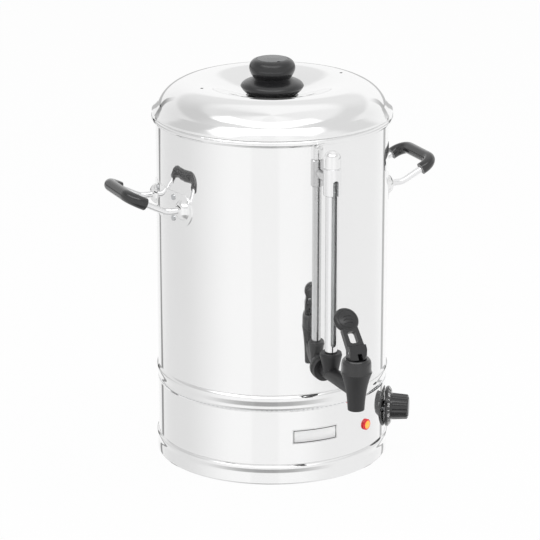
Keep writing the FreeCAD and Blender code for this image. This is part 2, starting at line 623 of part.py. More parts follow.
def tap_body():
    """Moulded shank with flange and thread stub, gauge socket on top, and the nozzle with its valve chamber."""
    shank = rod(SHANK_R, V(0, -TANK_R - WASHER_T, TAP_Z), V(0, NOZZLE_Y, TAP_Z))
    flange = rod(TAP_FLANGE_R, V(0, -TANK_R - WASHER_T, TAP_Z), V(0, -TANK_R - WASHER_T - TAP_FLANGE_T, TAP_Z))
    thread = rod(SHANK_THREAD_R, V(0, -NUT_Y + NUT_T + 2, TAP_Z),
                 V(0, -TANK_R - WASHER_T - 1, TAP_Z))
    spout = turned_edges([line((0, NOZZLE_Z), (NOZZLE_R, NOZZLE_Z)),
                          curve([(NOZZLE_R, NOZZLE_Z), (THROAT_R - 0.5, (NOZZLE_Z + THROAT_Z) / 2),
                                 (THROAT_R + 1.2, THROAT_Z), (SHOULDER_R, SHOULDER_Z)]),
                          line((SHOULDER_R, SHOULDER_Z), (0, SHOULDER_Z)),
                          line((0, SHOULDER_Z), (0, NOZZLE_Z))], V(0, NOZZLE_Y, 0))
    socket_low = TAP_Z
    socket = turned([(0, socket_low), (SOCKET_FOOT_R - 1, socket_low), (SOCKET_FOOT_R, TAP_Z + SHANK_R - 1),
                     (SOCKET_R, SOCKET_TOP - 3), (SOCKET_R - 0.8, SOCKET_TOP), (0, SOCKET_TOP)],
                    V(0, GAUGE_Y, 0))
    body = fused(shank, flange, thread, spout, socket)
    bore = rod(SHANK_BORE_R, V(0, -TANK_R + 30, TAP_Z), V(0, NOZZLE_Y + SEAT_BORE_R + 1.5, TAP_Z))
    rise_y = NOZZLE_Y + (SEAT_BORE_R + CHAMBER_R) / 2
    rise = rod(RISE_R, V(0, rise_y, TAP_Z), V(0, rise_y, CHAMBER_Z + 1))
    chamber = turned([(0, CHAMBER_Z), (CHAMBER_R, CHAMBER_Z), (CHAMBER_R, SHOULDER_Z), (0, SHOULDER_Z)],
                     V(0, NOZZLE_Y, 0))
    outlet = Part.makeCylinder(SEAT_BORE_R, SHOULDER_Z - NOZZLE_Z, V(0, NOZZLE_Y, NOZZLE_Z))
    mouth = Part.makeCylinder(NOZZLE_R - NOZZLE_WALL, THROAT_Z - NOZZLE_Z - 8, V(0, NOZZLE_Y, NOZZLE_Z))
    glass_bore = Part.makeCylinder(GLASS_R + SEAT_GAP, SOCKET_TOP, V(0, GAUGE_Y, GLASS_Z0))
    feed = Part.makeCylinder(GLASS_R - GLASS_WALL, GLASS_Z0 - TAP_Z + 1, V(0, GAUGE_Y, TAP_Z))
    seal_bore = Part.makeCylinder(SEAL_R, SOCKET_TOP, V(0, GAUGE_Y, SOCKET_TOP - SEAL_T))
    body = body.cut([bore, chamber, mouth, glass_bore, feed, seal_bore])
    return body.cut(rise).cut(outlet)


def tap_bonnet():
    """Screwed cap of the valve chamber, with the stem's guide and a shallow collar for the lever."""
    over = SHOULDER_Z
    top = BONNET_TOP
    guide = STEM_R + RUN_GAP
    edges = [line((guide, over - 4), (CHAMBER_R - SEAT_GAP, over - 4)),
             line((CHAMBER_R - SEAT_GAP, over - 4), (CHAMBER_R - SEAT_GAP, over)),
             line((CHAMBER_R - SEAT_GAP, over), (SHOULDER_R, over)),
             curve([(SHOULDER_R, over), (SHOULDER_R - 0.9, over + 6), (BONNET_TOP_R + 1.6, top - 2.6),
                    (BONNET_TOP_R - 0.4, top)]),
             line((BONNET_TOP_R - 0.4, top), (guide, top)),
             line((guide, top), (guide, over - 4))]
    return turned_edges(edges, V(0, NOZZLE_Y, 0))


def tap_stem():
    """Stem with a flat eye for the lever's pin and a button for the seat cup."""
    low = CHAMBER_Z + 2.0
    shaft = turned([(0, low), (STEM_R + 1.4, low), (STEM_R + 1.4, low + 2), (STEM_R, low + 2.8),
                    (STEM_R, BONNET_TOP + 3), (0, BONNET_TOP + 3)], V(0, NOZZLE_Y, 0))
    eye = rod(STEM_EYE_R, V(-STEM_EYE_T / 2, NOZZLE_Y, PIN_Z), V(STEM_EYE_T / 2, NOZZLE_Y, PIN_Z))
    stem = fused(shaft, eye)
    return stem.cut(rod(PIN_R + RUN_GAP, V(-20, NOZZLE_Y, PIN_Z), V(20, NOZZLE_Y, PIN_Z)))


def tap_seat_cup():
    """Soft cup that closes the outlet, pushed over the stem's button."""
    low = CHAMBER_Z + 0.1
    button = STEM_R + 1.4
    return turned([(0, low), (CUP_R - 1, low), (CUP_R, low + 1.2), (STEM_R + 2.2, low + 6), (STEM_R + 0.02, low + 6),
                   (STEM_R + 0.02, low + 4.72), (button + 0.02, low + 3.92), (button + 0.02, low + 1.88),
                   (0, low + 1.88)], V(0, NOZZLE_Y, 0))


def cam_outline():
    """Underside of the lever's ear in (forward, up) from the pin: its reach grows evenly with the lever's angle."""
    gain = STEM_LIFT / math.radians(LEVER_TRAVEL)
    points = []
    for k in range(7):
        a = math.radians(LEVER_TRAVEL) * k / 6
        reach = CAM_R0 + gain * a
        # the contact point lies beside the foot of the perpendicular by the reach's rate of change
        along = (-math.sin(a), -math.cos(a))
        beside = (-math.cos(a), math.sin(a))
        points.append((-(reach * along[0] + gain * beside[0]), reach * along[1] + gain * beside[1]))
    return points


def lever_frame(shape):
    """Lean a flat piece that was built in the XZ plane, with the pin at its origin, back to its rest angle."""
    shape.rotate(ORIGIN, X, -LEVER_LEAN)
    shape.translate(V(0, NOZZLE_Y, PIN_Z))
    return shape


def slab(outline, thickness):
    """Plate of even thickness about the XZ plane from a closed outline."""
    face = Part.Face(Part.Wire(outline))
    face.translate(V(0, thickness / 2, 0))
    return face.extrude(V(0, -thickness, 0))


def tap_lever():
    """Lever with two cam ears astride the stem, a windowed arm and a round dished paddle."""
    half = LEVER_W / 2
    neck = half * 0.92
    join = LEVER_LONG - math.sqrt(PADDLE_R ** 2 - neck ** 2)
    arm = slab([line((-half, 1), (half, 1)), line((half, 1), (neck, join)), line((neck, join), (-neck, join)),
                line((-neck, join), (-half, 1))], LEVER_T)
    paddle = turned_edges([line((0, -PADDLE_T / 2), (PADDLE_R - 2, -PADDLE_T / 2)),
                           arc((PADDLE_R - 2, -PADDLE_T / 2), (PADDLE_R, 0), (PADDLE_R - 2, PADDLE_T / 2)),
                           arc((PADDLE_R - 2, PADDLE_T / 2), (PADDLE_R / 2, PADDLE_T / 2 + 1.5),
                               (POLE_R, PADDLE_T / 2 + 2.0)),
                           line((POLE_R, PADDLE_T / 2 + 2.0), (0, PADDLE_T / 2 + 2.0)),
                           line((0, PADDLE_T / 2 + 2.0), (0, -PADDLE_T / 2))], V(0, 0, LEVER_LONG), OUT)
    blade = lever_frame(fused(arm, paddle))
    cam = [V(0, -forward, up) for forward, up in cam_outline()]
    flank = Part.BSplineCurve()
    flank.interpolate(cam)
    rear = V(0, half * 0.75, -CAM_R0)
    crown = V(0, half * 0.75, 5.5)
    brow = V(0, -2.0, 8.0)
    outline = Part.Wire([Part.makeLine(rear, cam[0]), flank.toShape(), Part.makeLine(cam[-1], brow),
                         Part.makeLine(brow, crown), Part.makeLine(crown, rear)])
    block = Part.Face(outline)
    block.translate(V(-half, 0, 0))
    block = block.extrude(X * LEVER_W)
    block.translate(V(0, NOZZLE_Y, PIN_Z))
    round_off = Part.makeCylinder(half + 1.2, 30, V(0, NOZZLE_Y, PIN_Z - 15))
    lever = fused(blade, block.common(round_off))
    eye_room = rod(STEM_EYE_R + SOFT_GAP, V(-EAR_X0, NOZZLE_Y, PIN_Z), V(EAR_X0, NOZZLE_Y, PIN_Z))
    shaft_room = Part.makeBox(2 * EAR_X0, 40, 20, V(-EAR_X0, NOZZLE_Y - 20, PIN_Z - 20))
    window = slab([line((-LEVER_SLOT_W / 2, 0), (LEVER_SLOT_W / 2, 0)),
                   line((LEVER_SLOT_W / 2, 0), (LEVER_SLOT_W / 2, LEVER_SLOT_L)),
                   line((LEVER_SLOT_W / 2, LEVER_SLOT_L), (-LEVER_SLOT_W / 2, LEVER_SLOT_L)),
                   line((-LEVER_SLOT_W / 2, LEVER_SLOT_L), (-LEVER_SLOT_W / 2, 0))], 30)
    window = window.makeFillet(2.6, [e for e in window.Edges if abs(e.tangentAt(e.FirstParameter).y) > 0.9])
    window.translate(V(0, 0, LEVER_SLOT_AT - LEVER_SLOT_L / 2))
    pin_hole = rod(PIN_R + 0.02, V(-20, NOZZLE_Y, PIN_Z), V(20, NOZZLE_Y, PIN_Z))
    return lever.cut([eye_room, shaft_room, lever_frame(window), pin_hole])


def lever_pin():
    reach = LEVER_W / 2 - 0.4
    return rod(PIN_R, V(-reach, NOZZLE_Y, PIN_Z), V(reach, NOZZLE_Y, PIN_Z))


def wall_washer(y, height, outer, inner, thickness, outside):
    """Soft washer with one side shaped to the wall, inside or outside the tank."""
    if outside:
        blank = rod(outer, V(0, -WALL_IN + 3, height), V(0, -TANK_R - thickness, height))
        blank = blank.cut(Part.makeCylinder(TANK_R, 4 * outer, V(0, 0, height - 2 * outer)))
    else:
        blank = rod(outer, V(0, -TANK_R - 3, height), V(0, -y, height))
        blank = blank.common(Part.makeCylinder(WALL_IN, 4 * outer, V(0, 0, height - 2 * outer)))
    return blank.cut(rod(inner, V(0, -TANK_R - 20, height), V(0, -TANK_R + 20, height)))


def hex_nut(centre, axis, across, bore, thickness):
    """Six-sided nut standing on its seat."""
    corners = [V(across / math.sqrt(3) * math.cos(math.radians(60 * k)),
                 across / math.sqrt(3) * math.sin(math.radians(60 * k)), 0) for k in range(6)]
    nut = Part.Face(Part.makePolygon(corners + corners[:1])).extrude(Z * thickness)
    nut = nut.cut(Part.makeCylinder(bore, thickness, ORIGIN))
    nut.Placement = FreeCAD.Placement(centre, FreeCAD.Rotation(Z, axis))
    return nut


# Sight gauge

def gauge_glass():
    outer = Part.makeCylinder(GLASS_R, GLASS_Z1 - GLASS_Z0, V(0, GAUGE_Y, GLASS_Z0))
    return outer.cut(Part.makeCylinder(GLASS_R - GLASS_WALL, GLASS_Z1 - GLASS_Z0, V(0, GAUGE_Y, GLASS_Z0)))


def gauge_seal():
    """Rubber sleeve round the glass in the tap's socket."""
    return turned([(GLASS_R + 0.02, SOCKET_TOP - SEAL_T), (SEAL_R - 0.02, SOCKET_TOP - SEAL_T),
                   (SEAL_R - 0.02, SOCKET_TOP + 1), (GLASS_R + 0.02, SOCKET_TOP + 1)], V(0, GAUGE_Y, 0))


def sight_tool():
    """Round-ended slot through the front of the guard and its collar."""
    half = SIGHT_W / 2
    slot = Part.makeBox(SIGHT_W, 20, SIGHT_Z1 - SIGHT_Z0 - SIGHT_W, V(-half, GAUGE_Y - 20, SIGHT_Z0 + half))
    ends = [rod(half, V(0, GAUGE_Y, z), V(0, GAUGE_Y - 20, z)) for z in (SIGHT_Z0 + half, SIGHT_Z1 - half)]
    return slot.multiFuse(ends)


def gauge_guard():
    """Steel tube round the glass, open at the front in a long slot."""
    low, high = SOCKET_TOP + 1.0, COLLAR_TOP - SHEET
    tube = Part.makeCylinder(GUARD_R, high - low, V(0, GAUGE_Y, low))
    tube = tube.cut(Part.makeCylinder(GUARD_R - GUARD_WALL, high - low, V(0, GAUGE_Y, low)))
    return tube.cut(sight_tool())


def gauge_collar():
    """Collar at the guard's head, with its stub and pin through the wall."""
    low = COLLAR_TOP - COLLAR_H
    collar = turned([(0, low), (COLLAR_R - 0.8, low), (COLLAR_R, low + 0.8), (COLLAR_R, COLLAR_TOP - 0.8),
                     (COLLAR_R - 0.8, COLLAR_TOP), (0, COLLAR_TOP)], V(0, GAUGE_Y, 0))
    stub = rod(STUB_R, V(0, GAUGE_Y, STUB_Z), V(0, -TANK_R, STUB_Z))
    pin = rod(STUB_PIN_R, V(0, -TANK_R - 1, STUB_Z), V(0, -NUT_Y + 7, STUB_Z))
    collar = fused(collar, stub, pin)
    bore = Part.makeCylinder(GUARD_R + 0.02, COLLAR_H - SHEET, V(0, GAUGE_Y, low))
    mouth = Part.makeCylinder(GUARD_R - GUARD_WALL, COLLAR_H + 2, V(0, GAUGE_Y, low))
    return collar.cut([bore, mouth, sight_tool()])


def gauge_cap():
    """Domed cap screwed into the collar."""
    top = COLLAR_TOP
    edges = [line((0, top - 3), (GUARD_R - GUARD_WALL - SEAT_GAP, top - 3)),
             line((GUARD_R - GUARD_WALL - SEAT_GAP, top - 3), (GUARD_R - GUARD_WALL - SEAT_GAP, top)),
             line((GUARD_R - GUARD_WALL - SEAT_GAP, top), (CAP_R - 1, top)),
             line((CAP_R - 1, top), (CAP_R, top + 1.5)),
             line((CAP_R, top + 1.5), (CAP_R, top + CAP_H - CAP_R)),
             arc((CAP_R, top + CAP_H - CAP_R), (CAP_R * 0.7071, top + CAP_H - CAP_R * 0.2929), (POLE_R, top + CAP_H)),
             line((POLE_R, top + CAP_H), (0, top + CAP_H)), line((0, top + CAP_H), (0, top - 3))]
    return turned_edges(edges, V(0, GAUGE_Y, 0))


# Thermostat and dial, built at the front with the dial's axis on -Y

def dial_skirt():
    """Graduated skirt with a bevelled face."""
    bore = SHAFT_R + 0.02
    return turned([(bore, 0), (DIAL_SKIRT_R - 0.6, 0), (DIAL_SKIRT_R, 0.6), (DIAL_SKIRT_R, 1.8),
                   (DIAL_FACE_R, DIAL_SKIRT_T), (bore, DIAL_SKIRT_T)], V(0, -DIAL_BACK, DIAL_Z), OUT)


def dial_grip():
    """Tapered grip with flutes round its side and a shallow seat for the cap."""
    z0, z1 = DIAL_SKIRT_T, DIAL_SKIRT_T + DIAL_GRIP_L
    cap_r = DIAL_GRIP_TOP_R - 2.4
    grip = turned([(0, z0), (DIAL_GRIP_R, z0), (DIAL_GRIP_TOP_R + 0.2, z1 - 1.2), (DIAL_GRIP_TOP_R - 1.0, z1),
                   (cap_r, z1), (cap_r, z1 - DIAL_CAP_T), (0, z1 - DIAL_CAP_T)])
    flutes = []
    for k in range(DIAL_FLUTES):
        a = 2 * math.pi * k / DIAL_FLUTES
        low = V((DIAL_GRIP_R + DIAL_FLUTE_R * 0.55) * math.cos(a), (DIAL_GRIP_R + DIAL_FLUTE_R * 0.55) * math.sin(a), z0)
        high = V((DIAL_GRIP_TOP_R + DIAL_FLUTE_R * 0.55) * math.cos(a),
                 (DIAL_GRIP_TOP_R + DIAL_FLUTE_R * 0.55) * math.sin(a), z1 + 1)
        flutes.append(rod(DIAL_FLUTE_R, low + (high - low) * 0.1, high))
    grip = grip.cut(flutes)
    grip = grip.cut(Part.makeCylinder(SHAFT_R + 0.02, 12, V(0, 0, z0)))
    grip.Placement = FreeCAD.Placement(V(0, -DIAL_BACK, DIAL_Z), FreeCAD.Rotation(Z, OUT))
    return grip


def dial_cap():
    """Pale end cap of the grip."""
    base = DIAL_SKIRT_T + DIAL_GRIP_L - DIAL_CAP_T
    radius = DIAL_GRIP_TOP_R - 2.4 - 0.05
    return turned([(0, base), (radius, base), (radius, base + DIAL_CAP_T + 0.2), (radius - 0.8, base + DIAL_CAP_T + 0.6),
                   (0, base + DIAL_CAP_T + 0.6)], V(0, -DIAL_BACK, DIAL_Z), OUT)


def thermostat_shaft():
    return rod(SHAFT_R, V(0, -THERMO_FACE + 6, DIAL_Z), V(0, -DIAL_BACK - DIAL_SKIRT_T - 11.5, DIAL_Z))


def thermostat_body():
    """Moulded thermostat block behind the wall."""
    block = Part.makeBox(THERMO_W, THERMO_D, THERMO_H, V(-THERMO_W / 2, -THERMO_FACE, DIAL_Z - THERMO_H / 2))
    block = block.makeFillet(2.0, [e for e in block.Edges if abs(e.tangentAt(e.FirstParameter).y) > 0.9])
    terminals = [Part.makeBox(1.0, 8.0, 6.4, V(x, -THERMO_FACE + THERMO_D, DIAL_Z - 3)) for x in (-12, -4, 11)]
    block = fused(block, *terminals)
    return block.cut([rod(SHAFT_R + RUN_GAP, V(0, -THERMO_FACE, DIAL_Z), V(0, -THERMO_FACE + 6.1, DIAL_Z))]
                     + thermostat_screw_bars(SCREW_R + 0.02))


def thermostat_screw_bars(radius):
    """Bars along both fixing screws, from the block out through the wall."""
    return [rod(radius, V(side * SCREW_AT, -THERMO_FACE + 5, DIAL_Z), V(side * SCREW_AT, -TANK_R - 0.1, DIAL_Z))
            for side in (-1, 1)]


def thermostat_screws():
    screws = []
    for side, bar in zip((-1, 1), thermostat_screw_bars(SCREW_R)):
        head = rod(SCREW_R * 1.8, V(side * SCREW_AT, -TANK_R - 0.05, DIAL_Z), V(side * SCREW_AT, -TANK_R - 1.6, DIAL_Z))
        screws.append(bar.fuse(head))
    return Part.makeCompound(screws)


def thermostat_spacers():
    """Sleeves on the screws between the block and the curved wall."""
    sleeves = [bar.cut(cut) for bar, cut in zip(thermostat_screw_bars(SCREW_R + 1.6),
                                               thermostat_screw_bars(SCREW_R + 0.02))]
    ring = Part.makeCylinder(WALL_IN, 60, V(0, 0, DIAL_Z - 30))
    block = Part.makeBox(THERMO_W, THERMO_D, THERMO_H, V(-THERMO_W / 2, -THERMO_FACE, DIAL_Z - THERMO_H / 2))
    return Part.makeCompound([sleeve.common(ring).cut(block) for sleeve in sleeves])


def bulb_spot():
    return V(WELL_AT[0], WELL_AT[1], 0)


def thermostat_well():
    """Closed tube that stands in the water round the bulb, flanged under the floor."""
    top = FLOOR_UNDER + BULB_L - 12
    return turned([(WELL_R - WELL_WALL, FLOOR_UNDER - 2), (WELL_R + 3, FLOOR_UNDER - 2), (WELL_R + 3, FLOOR_UNDER),
                   (WELL_R, FLOOR_UNDER), (WELL_R, top), (0, top), (0, top - WELL_WALL),
                   (WELL_R - WELL_WALL, top - WELL_WALL)], bulb_spot())


def thermostat_bulb():
    """Sensing bulb in its well, with the capillary that leads to the thermostat."""
    low = FLOOR_UNDER - 14
    bulb = Part.makeCylinder(BULB_R, BULB_L, bulb_spot() + Z * low)
    level = DIAL_Z + THERMO_H / 4
    end = V(0, -THERMO_FACE + THERMO_D + CAPILLARY_R / 2, level)
    turn = FreeCAD.Rotation(Z, DIAL_ANGLE)
    path = rounded_path([bulb_spot() + Z * (low + 1), bulb_spot() + Z * level, turn.multVec(end)], (8.0,))
    return fused(bulb, piped(path, CAPILLARY_R))


def indicator_bezel():
    """Red moulded lamp body: a round-edged head outside and a plain barrel through the wall."""
    edges = [line((0, -LAMP_BODY_L), (LAMP_BODY_R, -LAMP_BODY_L)), line((LAMP_BODY_R, -LAMP_BODY_L), (LAMP_BODY_R, 0.3)),
             line((LAMP_BODY_R, 0.3), (LAMP_R, 0.3)), line((LAMP_R, 0.3), (LAMP_R, LAMP_OUT - 1.4)),
             arc((LAMP_R, LAMP_OUT - 1.4), (LAMP_R - 0.4, LAMP_OUT - 0.4), (LAMP_R - 1.4, LAMP_OUT)),
             line((LAMP_R - 1.4, LAMP_OUT), (LAMP_WINDOW_R, LAMP_OUT)),
             line((LAMP_WINDOW_R, LAMP_OUT), (LAMP_WINDOW_R, LAMP_OUT - 2)),
             line((LAMP_WINDOW_R, LAMP_OUT - 2), (0, LAMP_OUT - 2)), line((0, LAMP_OUT - 2), (0, -LAMP_BODY_L))]
    return turned_edges(edges, V(0, -TANK_R, LAMP_Z), OUT)


def indicator_window():
    """Amber window in the lamp's head."""
    radius = LAMP_WINDOW_R - 0.02
    return turned_edges([line((0, LAMP_OUT - 2), (radius, LAMP_OUT - 2)), line((radius, LAMP_OUT - 2), (radius, LAMP_OUT)),
                         arc((radius, LAMP_OUT), (radius * 0.6, LAMP_OUT + 0.6), (POLE_R, LAMP_OUT + 0.8)),
                         line((POLE_R, LAMP_OUT + 0.8), (0, LAMP_OUT + 0.8)),
                         line((0, LAMP_OUT + 0.8), (0, LAMP_OUT - 2))], V(0, -TANK_R, LAMP_Z), OUT)


def indicator_clip():
    """Push-on spring clip that holds the lamp behind the wall."""
    flat = WALL_IN - 0.4
    ring = rod(LAMP_BODY_R + 3, V(0, -flat, LAMP_Z), V(0, -flat + 1.2, LAMP_Z))
    return ring.cut(rod(LAMP_BODY_R + 0.02, V(0, -flat - 1, LAMP_Z), V(0, -flat + 2, LAMP_Z)))


# Heater and wiring parts

def element_leg(side):
    """Top of one of the heater's straight legs, at the ring's level less the bend."""
    a = math.radians(ELEMENT_GAP)
    x = ELEMENT_RING * math.sin(a) - ELEMENT_BEND * math.cos(a)
    y = ELEMENT_RING * math.cos(a) + ELEMENT_BEND * math.sin(a)
    return V(side * x, y, FLOOR_TOP + ELEMENT_RISE - ELEMENT_BEND)


def heating_element():
    """Tubular heater: one loop over the floor with both ends turned down through it."""
    a = math.radians(ELEMENT_GAP)
    level = FLOOR_TOP + ELEMENT_RISE
    marks = []
    for side in (1, -1):
        top = element_leg(side)
        ring = V(side * ELEMENT_RING * math.sin(a), ELEMENT_RING * math.cos(a), level)
        along = V(ring.x - top.x, ring.y - top.y, 0).normalize()
        middle = top + along * (ELEMENT_BEND * (1 - math.sqrt(0.5))) + Z * (ELEMENT_BEND * math.sqrt(0.5))
        marks.append((top, middle, ring))
    (top_a, mid_a, ring_a), (top_b, mid_b, ring_b) = marks
    foot_z = FLOOR_UNDER - ELEMENT_STUD - 6
    path = [Part.makeLine(V(top_a.x, top_a.y, foot_z), top_a), Part.Arc(top_a, mid_a, ring_a).toShape(),
            Part.Arc(ring_a, V(0, -ELEMENT_RING, level), ring_b).toShape(),
            Part.Arc(ring_b, mid_b, top_b).toShape(), Part.makeLine(top_b, V(top_b.x, top_b.y, foot_z))]
    return piped(Part.Wire(path), ELEMENT_R)


def heater_pair(build):
    """Two alike solids, one on each leg."""
    return Part.makeCompound([build(V(element_leg(side).x, element_leg(side).y, 0)) for side in (-1, 1)])


def heater_bushes():
    """Shouldered bush brazed on each leg."""
    return heater_pair(lambda at: turned([
        (ELEMENT_R + 0.02, FLOOR_UNDER - ELEMENT_STUD), (STUD_R, FLOOR_UNDER - ELEMENT_STUD), (STUD_R, FLOOR_TOP + 1.5),
        (STUD_R + 4, FLOOR_TOP + 1.5), (STUD_R + 4, FLOOR_TOP + 4), (ELEMENT_R + 0.02, FLOOR_TOP + 4)], at))


def heater_gaskets():
    return heater_pair(lambda at: turned([
        (STUD_R + SEAT_GAP, FLOOR_TOP), (STUD_R + 4, FLOOR_TOP), (STUD_R + 4, FLOOR_TOP + 1.5),
        (STUD_R + SEAT_GAP, FLOOR_TOP + 1.5)], at))


def heater_nuts():
    return heater_pair(lambda at: hex_nut(at + Z * (FLOOR_UNDER - 5), Z, 2 * STUD_R + 6, STUD_R + 0.02, 5))


def thermal_cutout():
    """Button cut-out under the floor with its two blades."""
    at = V(CUTOUT_AT[0], CUTOUT_AT[1], FLOOR_UNDER - CUTOUT_H)
    body = Part.makeCylinder(CUTOUT_R, CUTOUT_H, at)
    blades = [Part.makeBox(6.3, 0.8, 9, at + V(-3, y, -8)) for y in (-5, 4)]
    return fused(body, *blades)


def terminal_block():
    """Moulded block with a row of wire entries and screw wells."""
    long, wide, tall = TERMINAL
    corner = V(TERMINAL_AT[0] - long / 2, TERMINAL_AT[1] - wide / 2, PLATE_Z + SHEET)
    block = Part.makeBox(long, wide, tall, corner)
    pitch = long / 4
    tools = []
    for k in range(4):
        x = corner.x + pitch * (k + 0.5)
        tools.append(Part.makeCylinder(2.4, 6, V(x, TERMINAL_AT[1], PLATE_Z + SHEET + tall - 6)))
        tools.append(rod(1.9, V(x, corner.y - 1, PLATE_Z + SHEET + 5), V(x, corner.y + 6, PLATE_Z + SHEET + 5)))
    return block.cut(tools)


def cable_gland():
    """Inlet for the supply cable at the rear, flanged outside."""
    barrel = rod(GLAND_R, V(0, -WALL_IN + GLAND_L, GLAND_Z), V(0, -TANK_R - 3, GLAND_Z))
    flange = rod(GLAND_R + 3.5, V(0, -TANK_R, GLAND_Z), V(0, -TANK_R - 3, GLAND_Z))
    nose = Part.makeCone(GLAND_R + 2, GLAND_R, 6, V(0, -TANK_R - 3, GLAND_Z), OUT)
    return fused(barrel, flange, nose).cut(rod(GLAND_BORE_R, V(0, -TANK_R + 30, GLAND_Z), V(0, -TANK_R - 12, GLAND_Z)))


def rear_and_front_pieces():
    """Nuts and washers behind the wall, built at the front."""
    hole = SHANK_THREAD_R + SEAT_GAP
    return {
        "tap_washer_outer": wall_washer(0, TAP_Z, WASHER_R, hole, WASHER_T, True),
        "tap_washer_inner": wall_washer(NUT_Y, TAP_Z, WASHER_R - 1, hole, WASHER_T, False),
        "tap_nut": hex_nut(V(0, -NUT_Y, TAP_Z), Y, 2 * NUT_R * 0.87, SHANK_THREAD_R + 0.02, NUT_T),
        "gauge_washer": wall_washer(NUT_Y, STUB_Z, STUB_PIN_R + 4, STUB_PIN_R + SEAT_GAP, WASHER_T, False),
        "gauge_nut": hex_nut(V(0, -NUT_Y, STUB_Z), Y, 2 * STUB_PIN_R + 5, STUB_PIN_R + 0.02, 4),
    }


def base_wall_screw_holes(drum):
    return drum.cut([at_angle(bar, DIAL_ANGLE) for bar in thermostat_screw_bars(SCREW_R + SEAT_GAP)])


def all_pieces():
    """Every named piece at its place in the urn."""
    lamp, dial = LAMP_ANGLE, DIAL_ANGLE
    pieces = {
        "tank_shell": tank_shell(), "tank_floor": tank_floor(), "mid_band": mid_band(),
        "base_housing": base_wall_screw_holes(base_housing()), "plinth_ring": plinth_ring(),
        "bottom_plate": bottom_plate(), "rubber_feet": rubber_feet(), "foot_screws": foot_screws(),
        "lid_shell": lid_shell(), "lid_knob": lid_knob(), "lid_knob_cap": lid_knob_cap(),
        "lid_knob_screw": lid_knob_screw(), "lid_knob_washer": lid_knob_washer(),
        "tap_body": tap_body(), "tap_bonnet": tap_bonnet(), "tap_stem": tap_stem(), "tap_seat_cup": tap_seat_cup(),
        "tap_lever": tap_lever(), "tap_lever_pin": lever_pin(),
        "gauge_glass": gauge_glass(), "gauge_seal": gauge_seal(), "gauge_guard": gauge_guard(),
        "gauge_collar": gauge_collar(), "gauge_cap": gauge_cap(),
        "dial_skirt": at_angle(dial_skirt(), dial), "dial_grip": at_angle(dial_grip(), dial),
        "dial_cap": at_angle(dial_cap(), dial), "thermostat_shaft": at_angle(thermostat_shaft(), dial),
        "thermostat_body": at_angle(thermostat_body(), dial), "thermostat_screws": at_angle(thermostat_screws(), dial),
        "thermostat_spacers": at_angle(thermostat_spacers(), dial), "thermostat_bulb": thermostat_bulb(),
        "thermostat_well": thermostat_well(),
        "indicator_bezel": at_angle(indicator_bezel(), lamp), "indicator_window": at_angle(indicator_window(), lamp),
        "indicator_clip": at_angle(indicator_clip(), lamp),
        "heating_element": heating_element(), "heater_bushes": heater_bushes(), "heater_gaskets": heater_gaskets(),
        "heater_nuts": heater_nuts(), "thermal_cutout": thermal_cutout(), "terminal_block": terminal_block(),
        "cable_gland": at_angle(cable_gland(), 180),
        "cable_gland_nut": at_angle(hex_nut(V(0, -WALL_IN + GLAND_NUT_SEAT, GLAND_Z), Y, 2 * GLAND_NUT_R, GLAND_R + 0.02, 5), 180),
    }
    pieces.update(rear_and_front_pieces())
    for side, turn in (("right", 0), ("left", 180)):
        for name, build in (("plate", handle_plate), ("rod", handle_rod), ("grip", handle_grip),
                            ("rivets", handle_rivets)):
            pieces[side + "_handle_" + name] = at_angle(build(), turn)
    return pieces


def main():
    os.makedirs("parts", exist_ok=True)
    for name, shape in all_pieces().items():
        shape.exportStep("parts/" + name + ".step")


main()
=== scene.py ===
"""Looks of the hot water urn.

A finish for every node, with painted shade on the gauge guard's side that faces the tank, rolled beads in place
of the plain mid band and plinth ring, crimp marks drawn as dark steel strips for painted shade in their dents, a
blank sticker, the dial's numbers and a black ring behind it as a painted shadow in its gap, arcs on the tap's
paddle, and a white studio with its camera.
"""
import json
import math
import bpy
import numpy as np
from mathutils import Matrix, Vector
from mathutils.bvhtree import BVHTree


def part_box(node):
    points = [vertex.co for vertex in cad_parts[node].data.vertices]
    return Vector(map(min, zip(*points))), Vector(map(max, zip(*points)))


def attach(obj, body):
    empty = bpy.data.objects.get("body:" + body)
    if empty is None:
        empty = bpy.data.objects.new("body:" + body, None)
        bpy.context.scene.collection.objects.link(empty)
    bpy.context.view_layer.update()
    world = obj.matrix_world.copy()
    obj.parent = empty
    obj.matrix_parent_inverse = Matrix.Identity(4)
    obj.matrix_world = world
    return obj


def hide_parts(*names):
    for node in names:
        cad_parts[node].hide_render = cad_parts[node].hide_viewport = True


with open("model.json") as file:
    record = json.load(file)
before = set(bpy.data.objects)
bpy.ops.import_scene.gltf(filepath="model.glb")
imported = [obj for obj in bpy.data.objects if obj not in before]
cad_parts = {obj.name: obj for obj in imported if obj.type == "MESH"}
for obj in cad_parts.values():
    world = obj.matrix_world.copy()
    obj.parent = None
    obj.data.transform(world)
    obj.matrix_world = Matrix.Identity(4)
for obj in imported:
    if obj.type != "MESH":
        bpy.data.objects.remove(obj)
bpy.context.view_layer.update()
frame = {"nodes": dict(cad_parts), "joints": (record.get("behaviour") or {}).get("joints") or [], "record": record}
MM = 0.001

# Tank: outer radius of its wall, and the radius within which its steel is duller
TANK_R = 131.5 * MM
TANK_BORE = TANK_R - 0.5 * MM

# Places taken from the frame, in metres
JOINTS = {joint["name"]: joint for joint in frame["joints"]}
UP = np.array([0.0, 0.0, 1.0])
DIAL_CENTRE = np.array(JOINTS["dial_turn"]["pos_m"])
DIAL_AXIS = np.array([DIAL_CENTRE[0], DIAL_CENTRE[1], 0.0]) / math.hypot(DIAL_CENTRE[0], DIAL_CENTRE[1])
DIAL_RIGHT = np.cross(UP, DIAL_AXIS)
LEVER_PIN = np.array(JOINTS["lever_tilt"]["pos_m"])
GAUGE_Y = 0.5 * (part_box("gauge_glass")[0][1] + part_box("gauge_glass")[1][1])

